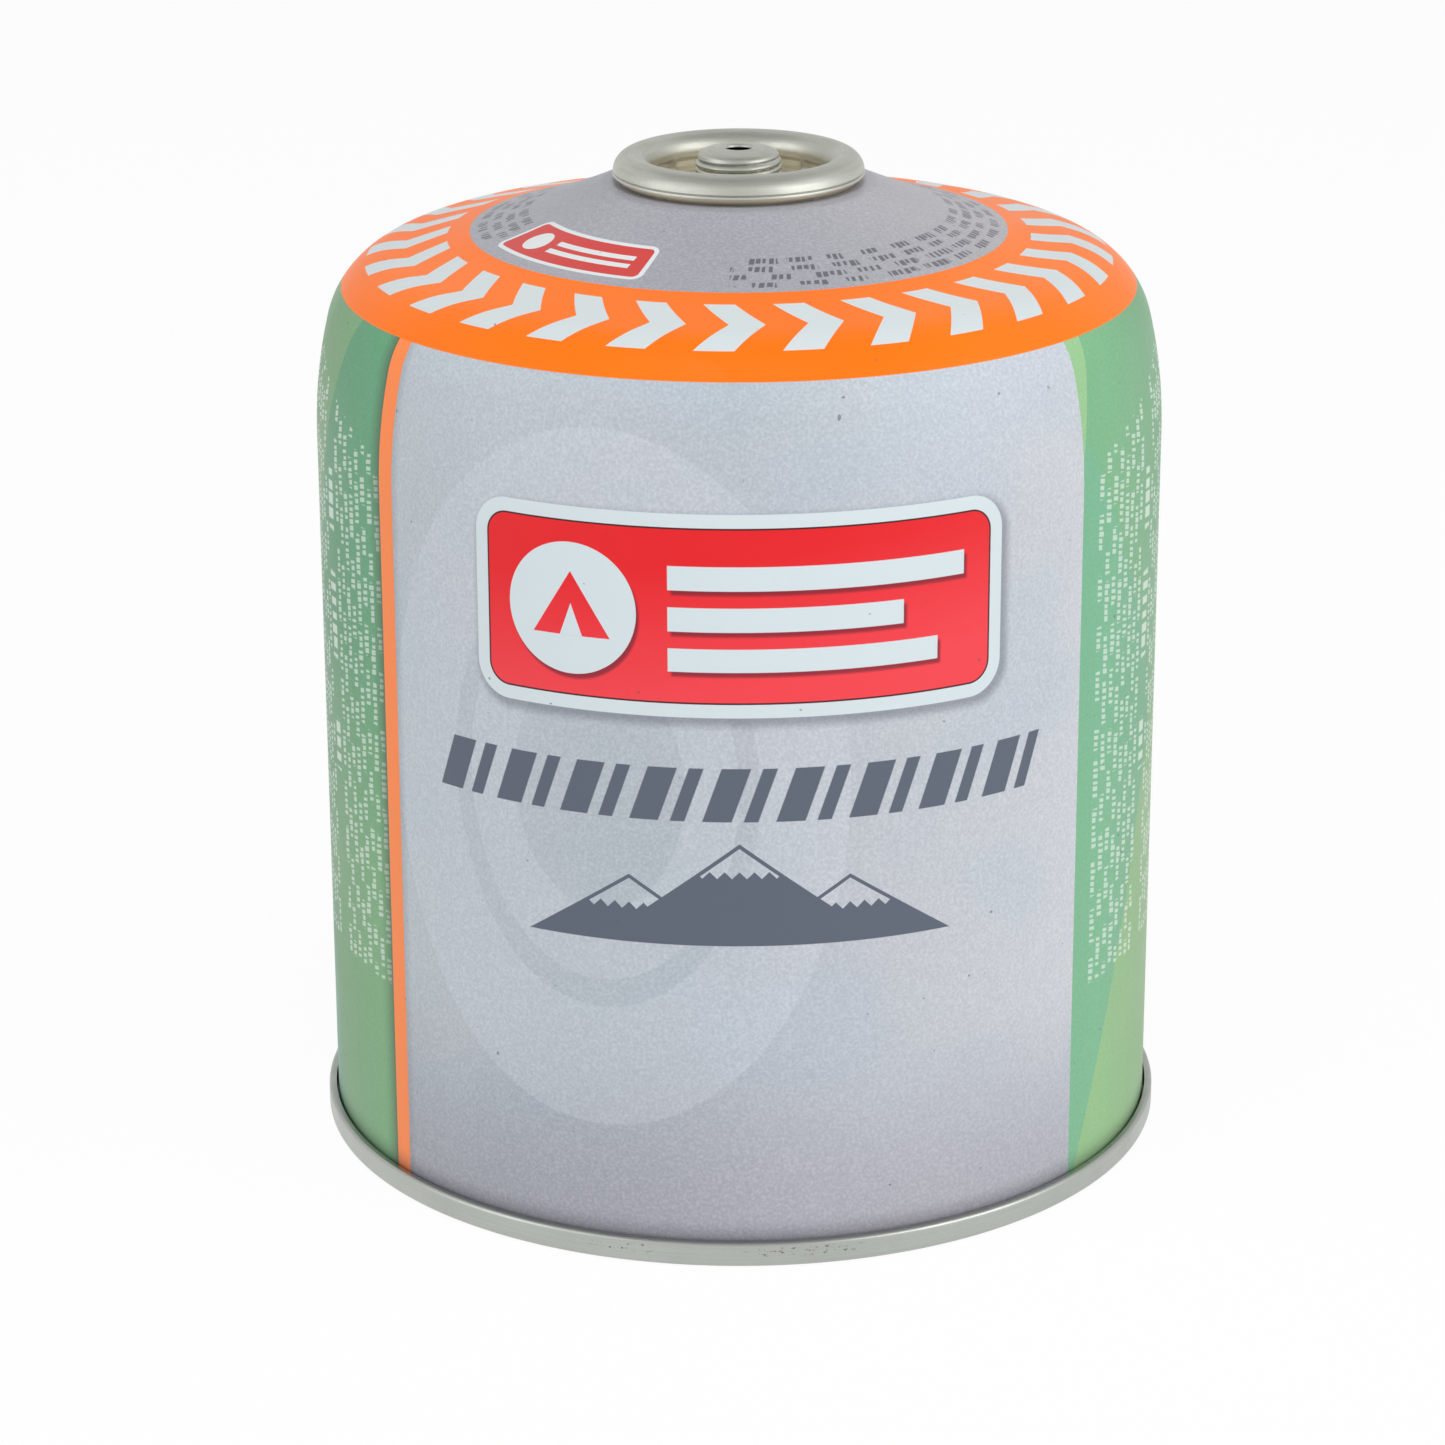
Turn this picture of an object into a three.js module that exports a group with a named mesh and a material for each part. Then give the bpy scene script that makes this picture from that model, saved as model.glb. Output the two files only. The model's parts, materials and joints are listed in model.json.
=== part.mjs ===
import * as THREE from 'three';

// Fuel canister with a threaded self-sealing valve.
// Millimetres, +Z up. It stands on the flat underside of its base seam at z = 0.

// Can body: a deep-drawn steel can whose shoulder is drawn in one piece with the wall.
const bodyRadius = 54;
const bodySheet = 0.5;
const wallHeight = 93.2; // straight wall, up to the start of the shoulder
const shoulderBend = 61.7; // radius of the slow curve above the wall
const shoulderLean = 13.8; // degrees from upright at the end of that curve
const cornerBend = 11.4;
const coneLean = 78.1; // degrees from upright after the corner
const coneLength = 4;
const swoopBend = 105.4; // hollow curve that sweeps up towards the neck
const landRadius = 17.8; // where that curve turns over to the land round the neck
const landBend = 2;
const landLean = 86; // degrees from upright, so the land is nearly level
const neckRadius = 14.5; // foot of the bead, which the neck is rolled outward into

// Base end: a pressed disc, folded round the body's lower rim in a double seam.
const seamHeight = 3.2;
const seamProud = 1.25; // how far the seam stands out past the body wall
const seamEdge = 0.45; // rounded upper edge of the seam
const seamFoot = 0.65; // rounded lower edges of the seam
const endSheet = 0.5;
const chuckHeight = 4; // upright wall inside the seam
const panelBend = 1; // turn from that wall into the panel
const panelTurn = 70; // degrees of that turn, before the dome carries on
const domeRise = 7.4; // how far the pressed-in panel rises to its centre

// Valve cup: pressed sheet that curls over the neck, with the threaded post at its centre.
const cupRadius = 15.87;
const cupSheet = 0.4;
const curlBend = 2.3; // outside radius of the curl's section
const skirtHeight = 0.15; // straight edge of the skirt, below the curl
const wellDepth = 4.3; // curl's crest down to the cup's floor
const crimpBulge = 0.9; // how far the wall is crimped out under the neck's bead
const crimpHeight = 0.6; // middle of the crimp above the floor
const crimpBand = 0.6; // height of the crimp's flat bottom
const crimpRidge = 0.55; // how far the ridges between the crimping jaws stand in from it
const crimpJaws = 8;
const threadMajor = 10.95; // 7/16 inch, less the tolerance
const threadPitch = 0.907; // 28 turns to the inch
const threadDepth = 0.42; // rolled in thin sheet, so shallower than a cut one
const threadDrop = 1.34; // first groove below the post's top, at the front
const capRadius = 5.1; // the post narrows to this at its top, to start the stove's collar
const postProud = 0.58; // post's top above the curl's crest
const postEdge = 0.65; // rounded top edge of the post
const postFoot = 0.7; // fillet between the post and the floor
const pinHole = 3.3;

// Valve: a rubber seal under the post's top, and the plastic housing that presses it up.
const sealHole = 2.6;
const sealThickness = 1.2;
const housingLength = 15.5;
const inletLength = 2.6;
const inletRadius = 1.8;
const poppetRadius = 0.9;
const poppetRise = 0.6;

const fitGap = 0.3; // clearance kept between nested pieces

// Facets round the axis.
const bodySides = 52;
const cupSides = 40;
const valveSides = 24;

// Facets along the outlines.
const cornerSteps = 7;
const sweepSteps = 6;
const domeSteps = 5;
const curlSteps = 8;
const edgeSteps = 3;
const rowsPerTurn = 5;

// An outline in (radius, height), walked anticlockwise, so that a revolve of it faces outward.
class Outline {
  constructor() {
    this.points = [];
  }

  to(r, z) {
    const last = this.points.at(-1);
    const next = new THREE.Vector2(Math.max(r, 0), z);
    if (!last || last.distanceTo(next) > 1e-4) {
      this.points.push(next);
    }
    return this;
  }

  // Arc about (r, z), with angles in degrees from the outward direction.
  arc(r, z, radius, start, end, steps) {
    for (let i = 0; i <= steps; i++) {
      const angle = THREE.MathUtils.degToRad(start + ((end - start) * i) / steps);
      this.to(r + radius * Math.cos(angle), z + radius * Math.sin(angle));
    }
    return this;
  }

  close() {
    this.points.push(this.points[0].clone());
    return this;
  }
}

function revolve(outline, sides) {
  return new THREE.LatheGeometry(outline.points, sides).rotateX(Math.PI / 2);
}

function piece(name, geometry, color, roughness, metalness) {
  const material = new THREE.MeshStandardMaterial({ color, roughness, metalness });
  const mesh = new THREE.Mesh(geometry, material);
  mesh.name = name;
  return mesh;
}

// Walks the shoulder from the top of the wall to the neck. Lean is measured from upright, and
// each stretch starts in the direction in which the last one ended.
function shoulderPath() {
  const rad = THREE.MathUtils.degToRad;
  const path = [];
  let r = bodyRadius;
  let z = wallHeight;
  let lean = 0;

  const bend = (radius, end, steps) => {
    const start = lean;
    const r0 = r;
    const z0 = z;
    for (let i = 1; i <= steps; i++) {
      lean = start + ((end - start) * i) / steps;
      r = r0 - radius * (Math.cos(rad(start)) - Math.cos(rad(lean)));
      z = z0 + radius * (Math.sin(rad(lean)) - Math.sin(rad(start)));
      path.push([r, z]);
    }
  };

  path.push([r, z]);
  bend(shoulderBend, shoulderLean, edgeSteps);
  bend(cornerBend, coneLean, cornerSteps);
  r -= coneLength * Math.sin(rad(lean));
  z += coneLength * Math.cos(rad(lean));
  path.push([r, z]);

  // The hollow curve bends the other way, and then turns over to the land round the neck.
  const sweptLean = Math.acos(Math.cos(rad(lean)) + (r - landRadius) / swoopBend);
  bend(-swoopBend, THREE.MathUtils.radToDeg(sweptLean), sweepSteps);
  bend(landBend, landLean, edgeSteps);
  path.push([neckRadius, z + (r - neckRadius) / Math.tan(rad(landLean))]);
  return path;
}

const shoulder = shoulderPath();
const neckHeight = shoulder.at(-1)[1];

// Heights and radii of the cup, worked out from the bead that carries it. The curl and the
// bead have one centre, and the bead's underside runs down to the neck's foot.
const curlRadius = cupRadius - curlBend;
const beadBend = curlBend - cupSheet - fitGap;
const beadFoot = Math.acos((neckRadius - curlRadius) / beadBend);
const curlHeight = neckHeight + beadBend * Math.sin(beadFoot);
const skirtBottom = curlHeight - skirtHeight;
const crestHeight = curlHeight + curlBend;
const floorHeight = crestHeight - wellDepth;
const wellRadius = curlRadius - curlBend;
const postTop = crestHeight + postProud;
const postRadius = threadMajor / 2;
const postBore = postRadius - threadDepth - cupSheet;
const threadStart = floorHeight + postFoot;
const threadEnd = postTop - postEdge;

// Radii inside the base seam, and the sphere radius of the panel's dome.
const chuckOuter = bodyRadius - bodySheet - fitGap;
const chuckInner = chuckOuter - endSheet;
const domeEdge = chuckInner - panelBend;
const domeRadius = (domeEdge ** 2 + domeRise ** 2) / (2 * domeRise);

// Outline of the dome at a step above its underside, from the axis to the edge or back.
function dome(outline, step, edge, outward) {
  const radius = domeRadius + step;
  const centre = chuckHeight + domeRise - domeRadius;
  for (let i = 0; i <= domeSteps; i++) {
    const r = (edge * (outward ? i : domeSteps - i)) / domeSteps;
    outline.to(r, centre + Math.sqrt(radius ** 2 - r ** 2));
  }
}

function baseEnd() {
  const seamRadius = bodyRadius + seamProud;
  const channel = bodyRadius + fitGap;
  const shape = new Outline();
  shape.arc(chuckInner + seamFoot, seamFoot, seamFoot, 180, 270, edgeSteps);
  shape.arc(seamRadius - seamFoot, seamFoot, seamFoot, 270, 360, edgeSteps);
  shape.arc(seamRadius - seamEdge, seamHeight - seamEdge, seamEdge, 0, 90, edgeSteps);
  shape.to(channel, seamHeight);
  shape.to(channel, endSheet);
  shape.to(chuckOuter, endSheet);
  shape.to(chuckOuter, chuckHeight - panelBend);
  shape.arc(domeEdge, chuckHeight - panelBend, chuckOuter - domeEdge, 0, panelTurn, edgeSteps);
  dome(shape, endSheet, domeEdge, false);
  dome(shape, 0, domeEdge - endSheet, true);
  shape.arc(domeEdge, chuckHeight - panelBend, chuckInner - domeEdge, panelTurn, 0, edgeSteps);
  return revolve(shape.close(), bodySides);
}

// The can is sealed, so its inside is filled: only the rim in the seam, the underside that
// follows the base panel, and the neck's opening are hollowed out.
function canBody() {
  const rimInner = bodyRadius - bodySheet;
  const rimBottom = endSheet + fitGap;
  const wall = wellRadius + cupSheet + fitGap;
  const crimp = wall + crimpBulge;
  const crimpZ = floorHeight + crimpHeight;
  const pocketFloor = floorHeight - cupSheet - fitGap;
  const coreBottom = housingTop() - housingLength - fitGap;
  const shape = new Outline();

  dome(shape, endSheet + fitGap, domeEdge, true);
  shape.arc(domeEdge, chuckHeight - panelBend, rimInner - domeEdge, panelTurn, 0, edgeSteps);
  shape.to(rimInner, rimBottom);
  shape.to(bodyRadius, rimBottom);
  shoulder.forEach(([r, z]) => shape.to(r, z));
  shape.arc(curlRadius, curlHeight, beadBend, -THREE.MathUtils.radToDeg(beadFoot), 180, curlSteps);
  shape.to(wall, curlHeight - cupSheet);
  shape.to(crimp, crimpZ + crimpBand / 2);
  shape.to(crimp, crimpZ - crimpBand / 2);
  shape.to(wall, pocketFloor);
  shape.to(postBore, pocketFloor);
  shape.to(postBore, coreBottom);
  shape.to(inletRadius + fitGap, coreBottom);
  shape.to(inletRadius + fitGap, coreBottom - inletLength);
  shape.to(0, coreBottom - inletLength);
  return revolve(shape, bodySides);
}

// The post's wall is split into rows, and each row is pushed in along one right-hand helix.
function rollThread(geometry) {
  const position = geometry.attributes.position;
  for (let i = 0; i < position.count; i++) {
    const x = position.getX(i);
    const y = position.getY(i);
    const z = position.getZ(i);
    const r = Math.hypot(x, y);
    const onWall = r > postBore + cupSheet / 2 && r < postRadius + cupSheet && z > threadStart && z < threadEnd;
    if (!onWall) {
      continue;
    }
    const round = (Math.atan2(y, x) + Math.PI / 2) / (2 * Math.PI);
    const turn = (z - postTop + threadDrop) / threadPitch - round;
    const fade = Math.min(1, (z - threadStart) / threadPitch, (2 * (threadEnd - z)) / threadPitch);
    const cut = (threadDepth * fade * (1 + Math.cos(2 * Math.PI * turn))) / 2;
    position.setXY(i, (x * (r - cut)) / r, (y * (r - cut)) / r);
  }
}

// The crimping jaws open inside the cup and leave a ridge in its wall between each two.
function markCrimp(geometry) {
  const position = geometry.attributes.position;
  for (let i = 0; i < position.count; i++) {
    const x = position.getX(i);
    const y = position.getY(i);
    const r = Math.hypot(x, y);
    const jaw = ((Math.atan2(y, x) / (2 * Math.PI)) * crimpJaws) % 1;
    const onRidge = Math.abs(jaw - Math.round(jaw)) < 1e-3;
    const onCrimp = r > wellRadius + cupSheet + 0.01 && position.getZ(i) < floorHeight + crimpHeight + crimpBand;
    if (onRidge && onCrimp) {
      position.setXY(i, (x * (r - crimpRidge)) / r, (y * (r - crimpRidge)) / r);
    }
  }
}

function valveCup() {
  const rows = Math.ceil(((threadEnd - threadStart) / threadPitch) * rowsPerTurn);
  const crimpZ = floorHeight + crimpHeight;
  const inner = curlBend - cupSheet;
  const shape = new Outline();

  // Upper side: from the skirt over the curl, down the crimped wall, and up the post to its hole.
  shape.to(curlRadius + inner, skirtBottom);
  shape.to(curlRadius + curlBend, skirtBottom);
  shape.arc(curlRadius, curlHeight, curlBend, 0, 180, curlSteps);
  shape.to(wellRadius, curlHeight - cupSheet);
  shape.to(wellRadius + crimpBulge, crimpZ + crimpBand / 2);
  shape.to(wellRadius + crimpBulge, crimpZ - crimpBand / 2);
  shape.to(wellRadius, floorHeight);
  shape.arc(postRadius + postFoot, threadStart, postFoot, 270, 180, edgeSteps);
  for (let i = 1; i < rows; i++) {
    const z = threadStart + ((threadEnd - threadStart) * i) / rows;
    const narrow = Math.max(0, 1 - (threadEnd - z) / threadPitch);
    shape.to(postRadius - (postRadius - capRadius) * narrow, z);
  }
  shape.arc(capRadius - postEdge, threadEnd, postEdge, 0, 90, edgeSteps);
  shape.to(pinHole / 2, postTop);
  shape.to(pinHole / 2, postTop - cupSheet);
  shape.to(postBore - postEdge / 2, postTop - cupSheet);
  shape.to(postBore, postTop - cupSheet - postEdge / 2);
  shape.to(postBore, floorHeight);
  shape.to(postBore + cupSheet, floorHeight - cupSheet);

  // Underside: back out below the floor, up behind the crimp, and over inside the curl.
  shape.to(wellRadius, floorHeight - cupSheet);
  shape.to(wellRadius + crimpBulge + cupSheet, crimpZ - crimpBand / 2);
  shape.to(wellRadius + crimpBulge + cupSheet, crimpZ + crimpBand / 2);
  shape.to(wellRadius + cupSheet, curlHeight - cupSheet);
  shape.arc(curlRadius, curlHeight, inner, 180, 0, curlSteps);

  const geometry = revolve(shape.close(), cupSides);
  rollThread(geometry);
  markCrimp(geometry);
  return geometry;
}

function sealTop() {
  return postTop - cupSheet - fitGap;
}

function housingTop() {
  return sealTop() - sealThickness - fitGap;
}

function stemSeal() {
  const top = sealTop();
  const radius = postBore - fitGap;
  const bevel = postEdge / 2;
  const shape = new Outline();
  shape.to(sealHole / 2, top - sealThickness);
  shape.to(radius, top - sealThickness);
  shape.to(radius, top - bevel);
  shape.to(radius - bevel, top);
  shape.to(sealHole / 2, top);
  return revolve(shape.close(), valveSides);
}

function valveHousing() {
  const top = housingTop();
  const bottom = top - housingLength;
  const radius = postBore - fitGap;
  const shape = new Outline();
  shape.to(0, bottom - inletLength);
  shape.to(inletRadius, bottom - inletLength);
  shape.to(inletRadius, bottom);
  shape.to(radius, bottom);
  shape.to(radius, top);
  shape.to(poppetRadius, top);
  shape.to(poppetRadius, top + poppetRise);
  shape.to(0, top + poppetRise);
  return revolve(shape, valveSides);
}

const canister = new THREE.Group();
canister.name = 'fuel_canister';
canister.add(
  piece('can_body', canBody(), 0xb9bac6, 0.3, 0.15),
  piece('base_end', baseEnd(), 0xb2b5ae, 0.32, 0.9),
  piece('valve_cup', valveCup(), 0xc8c8b9, 0.28, 0.9),
  piece('stem_gasket', stemSeal(), 0x26282a, 0.8, 0),
  piece('valve_core', valveHousing(), 0x3b3e40, 0.5, 0),
);

export default canister;
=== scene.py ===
import json
import math

import bpy
from mathutils import Matrix, Vector

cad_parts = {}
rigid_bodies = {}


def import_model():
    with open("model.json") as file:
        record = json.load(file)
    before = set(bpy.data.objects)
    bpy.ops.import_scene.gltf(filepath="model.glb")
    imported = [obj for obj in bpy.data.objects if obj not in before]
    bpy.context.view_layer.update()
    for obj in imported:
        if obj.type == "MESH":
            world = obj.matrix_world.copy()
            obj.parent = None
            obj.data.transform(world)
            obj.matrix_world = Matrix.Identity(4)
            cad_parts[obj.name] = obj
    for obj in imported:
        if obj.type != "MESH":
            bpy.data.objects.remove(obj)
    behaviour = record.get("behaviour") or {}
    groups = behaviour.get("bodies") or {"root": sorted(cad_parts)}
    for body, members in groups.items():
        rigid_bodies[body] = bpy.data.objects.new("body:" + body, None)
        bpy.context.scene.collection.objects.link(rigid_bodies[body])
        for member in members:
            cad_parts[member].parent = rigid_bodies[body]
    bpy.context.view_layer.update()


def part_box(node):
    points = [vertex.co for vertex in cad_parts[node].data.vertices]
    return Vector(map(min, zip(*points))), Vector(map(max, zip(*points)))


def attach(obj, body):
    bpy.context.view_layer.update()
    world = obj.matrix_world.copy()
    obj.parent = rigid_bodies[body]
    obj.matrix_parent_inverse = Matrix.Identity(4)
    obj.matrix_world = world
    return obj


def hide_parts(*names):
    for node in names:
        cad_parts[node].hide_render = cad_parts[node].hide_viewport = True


mm = 0.001  # everything below is in metres, as the frame is

# camera first: lens, place and aim of the photo's viewpoint
view = {
    "lens": 113.69,
    "sensor": 36.0,
    "place": (0.0006, -0.5654, 0.2513),
    "tilt": 19.41,  # degrees below the horizon
    "turn": -0.29,
    "roll": 0.19,
}


def makeCamera():
    tilt, turn, roll = (math.radians(view[k]) for k in ("tilt", "turn", "roll"))
    ahead = Vector((math.sin(turn) * math.cos(tilt), math.cos(turn) * math.cos(tilt), -math.sin(tilt)))
    right = Vector((math.cos(turn), -math.sin(turn), 0))
    down = ahead.cross(right)
    rolledRight = right * math.cos(roll) + down * math.sin(roll)
    rolledDown = down * math.cos(roll) - right * math.sin(roll)
    data = bpy.data.cameras.new("photoCamera")
    data.lens, data.sensor_width = view["lens"], view["sensor"]
    data.clip_start, data.clip_end = 0.01, 20
    camera = bpy.data.objects.new("photoCamera", data)
    axes = Matrix((rolledRight, -rolledDown, -ahead)).transposed().to_4x4()
    camera.matrix_world = Matrix.Translation(view["place"]) @ axes
    bpy.context.scene.collection.objects.link(camera)
    bpy.context.scene.camera = camera
    print("camera set")


for old in list(bpy.data.objects):
    bpy.data.objects.remove(old)
makeCamera()

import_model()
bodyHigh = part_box("can_body")[1]
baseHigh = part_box("base_end")[1]
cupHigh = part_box("valve_cup")[1]
bodyRadius = bodyHigh.x
print("frame loaded, body radius", round(bodyRadius / mm, 2), "mm")


# small shader builder: each call adds one node and gives back its output
class Shader:
    def __init__(self, name):
        self.material = bpy.data.materials.new(name)
        self.material.use_nodes = True
        self.tree = self.material.node_tree
        self.nodes = self.tree.nodes
        self.principled = self.nodes["Principled BSDF"]
        coords = self.nodes.new("ShaderNodeTexCoord")
        self.place = coords.outputs["Object"]
        split = self.nodes.new("ShaderNodeSeparateXYZ")
        self.link(self.place, split.inputs[0])
        self.x, self.y, z = split.outputs
        self.z = self.mul(z, 1000)  # height in mm
        self.r = self.mul(self.root(self.add(self.mul(self.x, self.x), self.mul(self.y, self.y))), 1000)
        self.angle = self.op("ARCTAN2", self.x, self.mul(self.y, -1))  # from the front, plus to the right

    def link(self, a, b):
        self.tree.links.new(a, b)

    def put(self, value, socket):
        if isinstance(value, bpy.types.NodeSocket):
            self.link(value, socket)
        else:
            socket.default_value = value

    def op(self, kind, a, b=0.0, c=0.0):
        node = self.nodes.new("ShaderNodeMath")
        node.operation = kind
        for value, socket in zip((a, b, c), node.inputs):
            self.put(value, socket)
        return node.outputs[0]

    def add(self, a, b):
        return self.op("ADD", a, b)

    def sub(self, a, b):
        return self.op("SUBTRACT", a, b)

    def mul(self, a, b):
        return self.op("MULTIPLY", a, b)

    def root(self, a):
        return self.op("SQRT", a)

    def most(self, a, b):
        return self.op("MAXIMUM", a, b)

    def least(self, a, b):
        return self.op("MINIMUM", a, b)

    def flip(self, a):
        return self.op("SUBTRACT", 1.0, a)

    def above(self, value, limit, soft=0.06):
        # 0 below the limit and 1 above it, over a short soft step
        node = self.nodes.new("ShaderNodeMapRange")
        node.interpolation_type = "SMOOTHSTEP"
        self.put(value, node.inputs["Value"])
        if isinstance(limit, bpy.types.NodeSocket):
            self.put(self.sub(limit, soft / 2), node.inputs["From Min"])
            self.put(self.add(limit, soft / 2), node.inputs["From Max"])
        else:
            node.inputs["From Min"].default_value = limit - soft / 2
            node.inputs["From Max"].default_value = limit + soft / 2
        return node.outputs["Result"]

    def below(self, value, limit, soft=0.06):
        return self.flip(self.above(value, limit, soft))

    def between(self, value, low, high, soft=0.06):
        return self.mul(self.above(value, low, soft), self.below(value, high, soft))

    def ramp(self, value, low, high, start=0.0, end=1.0):
        node = self.nodes.new("ShaderNodeMapRange")
        self.put(value, node.inputs["Value"])
        node.inputs["From Min"].default_value = low
        node.inputs["From Max"].default_value = high
        node.inputs["To Min"].default_value = start
        node.inputs["To Max"].default_value = end
        return node.outputs["Result"]

    def mix(self, factor, a, b, kind="MIX"):
        node = self.nodes.new("ShaderNodeMix")
        node.data_type = "RGBA"
        node.blend_type = kind
        self.put(factor, node.inputs["Factor"])
        self.put(a, node.inputs["A"])
        self.put(b, node.inputs["B"])
        return next(o for o in node.outputs if o.type == "RGBA")

    def vector(self, x, y, z=0.0):
        node = self.nodes.new("ShaderNodeCombineXYZ")
        for value, socket in zip((x, y, z), node.inputs):
            self.put(value, socket)
        return node.outputs[0]

    def noise(self, scale, detail=3.0, rough=0.5, at=None):
        node = self.nodes.new("ShaderNodeTexNoise")
        self.put(at or self.place, node.inputs["Vector"])
        node.inputs["Scale"].default_value = scale
        node.inputs["Detail"].default_value = detail
        node.inputs["Roughness"].default_value = rough
        return node.outputs["Fac"]

    def random(self, x, y=0.0):
        node = self.nodes.new("ShaderNodeTexWhiteNoise")
        node.noise_dimensions = "2D"
        self.link(self.vector(x, y), node.inputs["Vector"])
        return node.outputs["Value"]

    def bump(self, height, distance, strength=1.0):
        node = self.nodes.new("ShaderNodeBump")
        node.inputs["Strength"].default_value = strength
        node.inputs["Distance"].default_value = distance
        self.link(height, node.inputs["Height"])
        self.link(node.outputs["Normal"], self.principled.inputs["Normal"])

    def set(self, **values):
        names = {
            "color": "Base Color",
            "metal": "Metallic",
            "rough": "Roughness",
            "level": "Specular IOR Level",
        }
        for key, value in values.items():
            self.put(value, self.principled.inputs[names[key]])

    # outline of a box with round corners, negative inside, in mm
    def roundBox(self, x, y, halfWidth, halfHeight, corner):
        qx = self.sub(self.op("ABSOLUTE", x), halfWidth - corner)
        qy = self.sub(self.op("ABSOLUTE", y), halfHeight - corner)
        ox, oy = self.most(qx, 0.0), self.most(qy, 0.0)
        outside = self.root(self.add(self.mul(ox, ox), self.mul(oy, oy)))
        inside = self.least(self.most(qx, qy), 0.0)
        return self.sub(self.add(outside, inside), corner)

    def disc(self, x, y, radius):
        return self.sub(self.root(self.add(self.mul(x, x), self.mul(y, y))), radius)

    # rows of small ticks in groups of uneven length, in place of small print
    def ticks(self, along, across, pitch, group, seed, tick):
        row = self.op("FLOOR", self.op("DIVIDE", across, pitch))
        rowPart = self.op("FRACT", self.op("DIVIDE", across, pitch))
        moved = self.add(along, self.mul(self.random(row, seed), 7.0 * group))
        cell = self.op("FLOOR", self.op("DIVIDE", moved, group))
        cellPart = self.op("FRACT", self.op("DIVIDE", moved, group))
        length = self.ramp(self.random(cell, self.add(row, seed)), 0.0, 1.0, 0.5, 0.93)
        grouped = self.mul(self.above(cellPart, 0.06, 0.03), self.below(cellPart, length, 0.03))
        slanted = self.op("DIVIDE", self.add(moved, self.mul(rowPart, 0.35)), tick)
        number = self.op("FLOOR", slanted)
        part = self.op("FRACT", slanted)
        width = self.ramp(self.random(number, self.add(row, seed * 2)), 0, 1, 0.55, 0.92)
        top = self.ramp(self.random(number, self.add(row, seed * 3)), 0, 1, 0.62, 0.86)
        stroke = self.mul(self.above(part, 0.1, 0.1), self.below(part, width, 0.1))
        high = self.mul(self.above(rowPart, 0.16, 0.1), self.below(self.sub(rowPart, top), 0.0, 0.1))
        return self.mul(self.mul(grouped, stroke), high)


def paint(red, green, blue):
    # screen colour, 0 to 255, as the linear colour that a socket takes
    def linear(v):
        v /= 255
        return v / 12.92 if v <= 0.04045 else ((v + 0.055) / 1.055) ** 2.4
    return (linear(red), linear(green), linear(blue), 1.0)


wallRadius = bodyRadius / mm
arcPerDegree = math.pi / 180 * wallRadius

# print: places round the can in degrees from the front, plus to the right, the rest in mm
panel = {
    "left": -51.4,
    "right": 50.8,
    "edge": 0.05,  # softness of its edges
    "cloudSize": 22,
    "tintSize": 31,
    "greys": (paint(181, 192, 200), paint(191, 195, 203)),
    # painted light: the lighter grey that the right side turns to
    "rightPaintedLightGrey": paint(208, 211, 217),
    "leftGrey": paint(194, 203, 209),
    "blue": paint(178, 196, 212),
    "foot": (28, 34),  # height where the darker foot ends, and how softly
    "footGreys": (paint(160, 160, 170), paint(174, 171, 181)),
    "inner": 1.6,  # width of the faint shade along its left edge
    "inkShade": paint(120, 120, 132),
}
stripe = {
    "width": 2.95,
    "color": paint(255, 140, 76),
    "shade": 4.0,  # dark shade on the green beside it
    "shadeFade": 3.2,
    "shadeColor": paint(70, 84, 66),
}
sun = {
    "round": -17.5,
    "height": 62,
    "squash": 0.7,
    "radius": 31.0,
    "gap": (-13.5, -11.0),  # ring left out, from the disc's edge inwards
    "core": -20.0,
    "color": paint(222, 228, 236),
    "strength": 0.22,
}
strokes = {
    "low": 58.4,
    "high": 65.2,
    "middle": 61.8,
    "slant": 0.35,
    "halfRow": 40.0,
    "pitch": 8.9,
    "wide": (0.1, 0.5),  # shares of the pitch
    "narrow": (0.66, 0.86),
}
peaks = {
    "foot": 42.4,
    "hills": ((-13.5, 51.2, 13.2), (13.5, 51.2, 13.2), (0.0, 55.6, 17.5)),  # place, top, half width
    "outline": 0.8,
    "snow": 3.6,
    "tooth": 0.9,
}
slate = paint(92, 100, 115)
greens = {
    # left and right side: the lighter right is partly print tone, partly painted light
    "around": (paint(94, 160, 119), paint(124, 184, 137)),  # left and right side
    "low": (58, 50, 0.8, paint(126, 176, 124)),  # height, softness, strength, colour
    "rightLow": (58, 30, 0.85, paint(152, 197, 138)),
    "rightFade": (130, 60),  # where the right side's facets run out, towards the back
    "leftFade": (-125, 60),
    # facets: degrees and height of a point on the edge, rise per degree, softness, strength, colour
    "teal": ((52.0, 3.0, 2.35), (52.0, 100.0, -1.6), 0.6, 0.85, paint(118, 184, 146)),
    "wedge": ((51.5, 100.0, 3.9), 0.4, 0.8, paint(158, 202, 146)),
    "topLeft": ((-66.0, 112.0, 2.4), 0.4, 0.7, paint(136, 178, 126)),
    "farLeft": ((-76.0, 12.0, -5.2), 0.6, 0.7, paint(112, 174, 146)),
    # painted shade: the green darkens and greys towards the far sides, where the wall turns away
    "farSidePaintedShade": (58, 78, 0.35, paint(150, 160, 150)),
}
smallPrint = {
    "start": 52.5,  # degrees from the front, on both sides
    "span": (1.75, 66.0),
    "pitch": 1.75,
    "group": 6.5,
    "tick": 0.85,
    "low": 28,
    "high": 96.0,
    "rise": 0.35,
    "title": (16.0, 19.6),
    "titlePitch": 3.6,
    "titleGroup": 17.0,
    "titleTick": 1.9,
    "titleLow": 52,
    "titleHigh": 97,
    "color": paint(214, 230, 218),
}
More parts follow.
